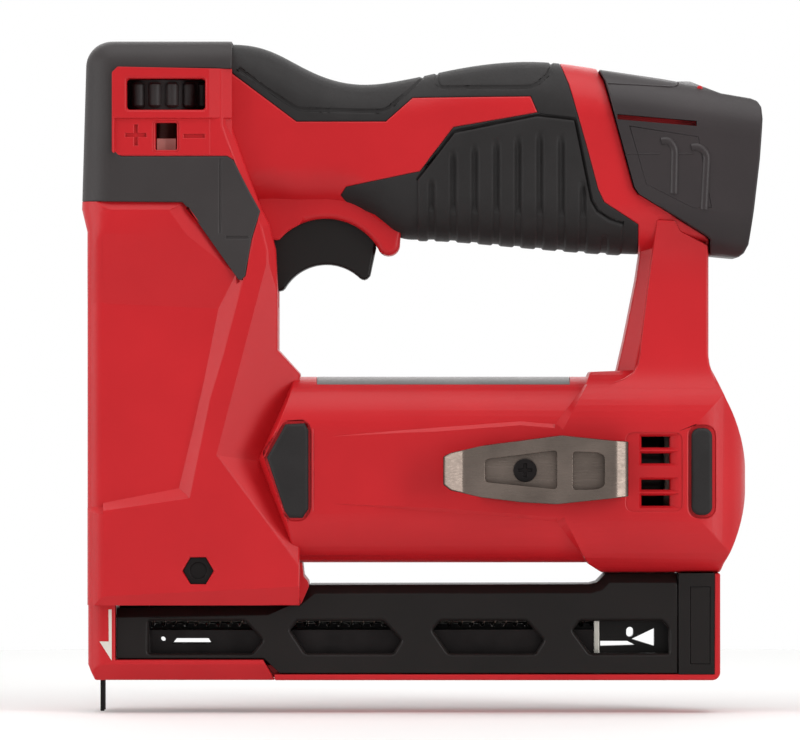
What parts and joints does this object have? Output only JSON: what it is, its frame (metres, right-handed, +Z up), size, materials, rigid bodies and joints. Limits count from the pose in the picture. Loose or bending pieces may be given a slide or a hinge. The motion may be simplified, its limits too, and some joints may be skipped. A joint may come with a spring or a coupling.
{
  "type": "cordless crown stapler",
  "caption": "Hand held cordless crown stapler: red case halves with black overmould, slide-in battery, drawer magazine with windows, depth wheel, trigger and steel belt clip.",
  "frame": {"origin": "where the staple leaves the nose, in the nose's bottom face and the parting plane", "axes": "+X back from the nose to the battery, +Y to the tool's right side, +Z up to the handle"},
  "size_m": [0.2104, 0.0685, 0.2077],
  "materials": {
    "red_nylon": "fine moulded texture",
    "black_overmould": "soft matte overmould",
    "black_nylon": "fine moulded texture",
    "pack_plastic": "fine moulded texture",
    "plain_plate": "satin",
    "spring_steel": "tumbled",
    "bright_steel": "ground",
    "zinc_steel": "zinc plated",
    "dark_steel": "black oxide",
    "sintered_steel": "sintered, oiled",
    "cast_zinc": "die cast",
    "ferrite": "dull",
    "turned_brass": "turned",
    "white_nylon": "moulded",
    "pink_tab": "moulded",
    "cell_sleeve": "sleeved can",
    "board_green": "solder mask",
    "lead_sleeve": "extruded",
    "bumper_rubber": "moulded"
  },
  "bodies": {
    "case": {"housing_left": "red_nylon", "housing_right": "red_nylon", "front_cap_left": "black_overmould", "front_cap_right": "black_overmould", "front_bumpers": "black_overmould", "rear_bumpers": "black_overmould", "barrel_plate": "plain_plate", "grip_left": "black_overmould", "grip_right": "black_overmould", "guide_rod": "bright_steel", "striker_bumper": "bumper_rubber", "main_spring": "spring_steel", "nose_guide": "bright_steel", "ring_gear": "sintered_steel", "front_bearing": "bright_steel", "motor_plate": "cast_zinc", "motor_can": "zinc_steel", "motor_magnets": "ferrite", "motor_cap": "black_nylon", "trigger_pin": "bright_steel", "trigger_switch": "black_nylon", "control_board": "board_green", "terminal_block": "black_nylon", "magazine_cover_left": "black_nylon", "magazine_cover_right": "black_nylon", "belt_clip": "spring_steel", "clip_screw": "zinc_steel", "clip_inserts": "turned_brass", "case_screws": "dark_steel", "nose_bolt": "dark_steel", "nose_nut": "zinc_steel", "motor_leads": "lead_sleeve"},
    "lifter": {"planet_carrier": "sintered_steel", "lifter_gear": "sintered_steel"},
    "driver": {"striker": "sintered_steel", "driver_blade": "bright_steel", "staple": "zinc_steel"},
    "armature": {"rotor": "dark_steel", "sun_pinion": "bright_steel", "fan": "white_nylon"},
    "planet_1": {"planet_gear_1": "sintered_steel"},
    "planet_2": {"planet_gear_2": "sintered_steel"},
    "planet_3": {"planet_gear_3": "sintered_steel"},
    "wheel": {"depth_wheel": "black_nylon"},
    "nut": {"depth_nut": "pink_tab"},
    "trigger_body": {"trigger": "black_nylon"},
    "plunger": {"switch_plunger": "white_nylon"},
    "drawer": {"drawer_base": "red_nylon", "drawer_block": "black_nylon", "core_rail": "bright_steel", "spring_anchor": "zinc_steel", "pusher_rod": "bright_steel", "pusher_spring": "spring_steel"},
    "pusher_body": {"pusher": "dark_steel"},
    "latch_left": {"drawer_latch_left": "black_nylon"},
    "latch_right": {"drawer_latch_right": "black_nylon"},
    "battery": {"battery_case": "pack_plastic", "battery_cells": "cell_sleeve"},
    "button_left": {"battery_button_left": "pack_plastic"},
    "button_right": {"battery_button_right": "pack_plastic"}
  },
  "joints": [
    {"name": "lifter_turn", "type": "hinge", "parent": "case", "child": "lifter", "pos_m": [0.07, 0, 0.0652], "axis": [1, 0, 0], "range_deg": [0, 126.05]},
    {"name": "driver_stroke", "type": "slide", "parent": "case", "child": "driver", "axis": [0, 0, 1], "range_m": [0, 0.0221], "deforming": ["main_spring"]},
    {"name": "motor_spin", "type": "hinge", "parent": "case", "child": "armature", "pos_m": [0.14, 0, 0.0652], "axis": [1, 0, 0], "range_deg": [0, 757]},
    {"name": "planet_turn_1", "type": "hinge", "parent": "lifter", "child": "planet_1", "pos_m": [0.1055, 0.0108, 0.0652], "axis": [1, 0, 0], "range_deg": [-316, 0]},
    {"name": "planet_turn_2", "type": "hinge", "parent": "lifter", "child": "planet_2", "pos_m": [0.1055, -0.0054, 0.07455], "axis": [1, 0, 0], "range_deg": [-316, 0]},
    {"name": "planet_turn_3", "type": "hinge", "parent": "lifter", "child": "planet_3", "pos_m": [0.1055, -0.0054, 0.05585], "axis": [1, 0, 0], "range_deg": [-316, 0]},
    {"name": "depth_wheel_turn", "type": "hinge", "parent": "case", "child": "wheel", "pos_m": [0.0185, 0, 0.1812], "axis": [0, 0, 1], "range_deg": [-288, 288]},
    {"name": "depth_nut_travel", "type": "slide", "parent": "case", "child": "nut", "axis": [0, 0, 1], "range_m": [-0.00241, 0.00241], "deforming": ["main_spring"]},
    {"name": "trigger_pull", "type": "hinge", "parent": "case", "child": "trigger_body", "pos_m": [0.0586, 0, 0.1432], "axis": [0, -1, 0], "range_deg": [0, 8], "stiffness_Nm_per_rad": 0.5, "springref_deg": -5.73},
    {"name": "plunger_press", "type": "slide", "parent": "case", "child": "plunger", "axis": [0, 0, 1], "range_m": [0, 0.0025]},
    {"name": "drawer_slide", "type": "slide", "parent": "case", "child": "drawer", "axis": [1, 0, 0], "range_m": [0, 0.12]},
    {"name": "pusher_feed", "type": "slide", "parent": "drawer", "child": "pusher_body", "axis": [1, 0, 0], "range_m": [0, 0.105], "stiffness_N_per_m": 40, "springref_m": -0.05, "deforming": ["pusher_spring"]},
    {"name": "latch_left_press", "type": "slide", "parent": "drawer", "child": "latch_left", "axis": [0, 1, 0], "range_m": [0, 0.0012], "stiffness_N_per_m": 1500, "springref_m": -0.001},
    {"name": "latch_right_press", "type": "slide", "parent": "drawer", "child": "latch_right", "axis": [0, -1, 0], "range_m": [0, 0.0012], "stiffness_N_per_m": 1500, "springref_m": -0.001},
    {"name": "battery_slide", "type": "slide", "parent": "case", "child": "battery", "axis": [0.9877, 0, -0.1564], "range_m": [0, 0.08]},
    {"name": "button_left_press", "type": "slide", "parent": "battery", "child": "button_left", "axis": [0, 1, 0], "range_m": [0, 0.0015], "stiffness_N_per_m": 1500, "springref_m": -0.001},
    {"name": "button_right_press", "type": "slide", "parent": "battery", "child": "button_right", "axis": [0, -1, 0], "range_m": [0, 0.0015], "stiffness_N_per_m": 1500, "springref_m": -0.001}
  ],
  "couplings": [
    {"joint": "driver_stroke", "follows": "lifter_turn", "m_per_rad": 0.01},
    {"joint": "motor_spin", "follows": "lifter_turn", "ratio": 6},
    {"joint": "planet_turn_1", "follows": "lifter_turn", "ratio": -2.5},
    {"joint": "planet_turn_2", "follows": "lifter_turn", "ratio": -2.5},
    {"joint": "planet_turn_3", "follows": "lifter_turn", "ratio": -2.5},
    {"joint": "depth_nut_travel", "follows": "depth_wheel_turn", "m_per_rad": 0.00047746},
    {"joint": "plunger_press", "follows": "trigger_pull", "m_per_rad": 0.0165}
  ]
}
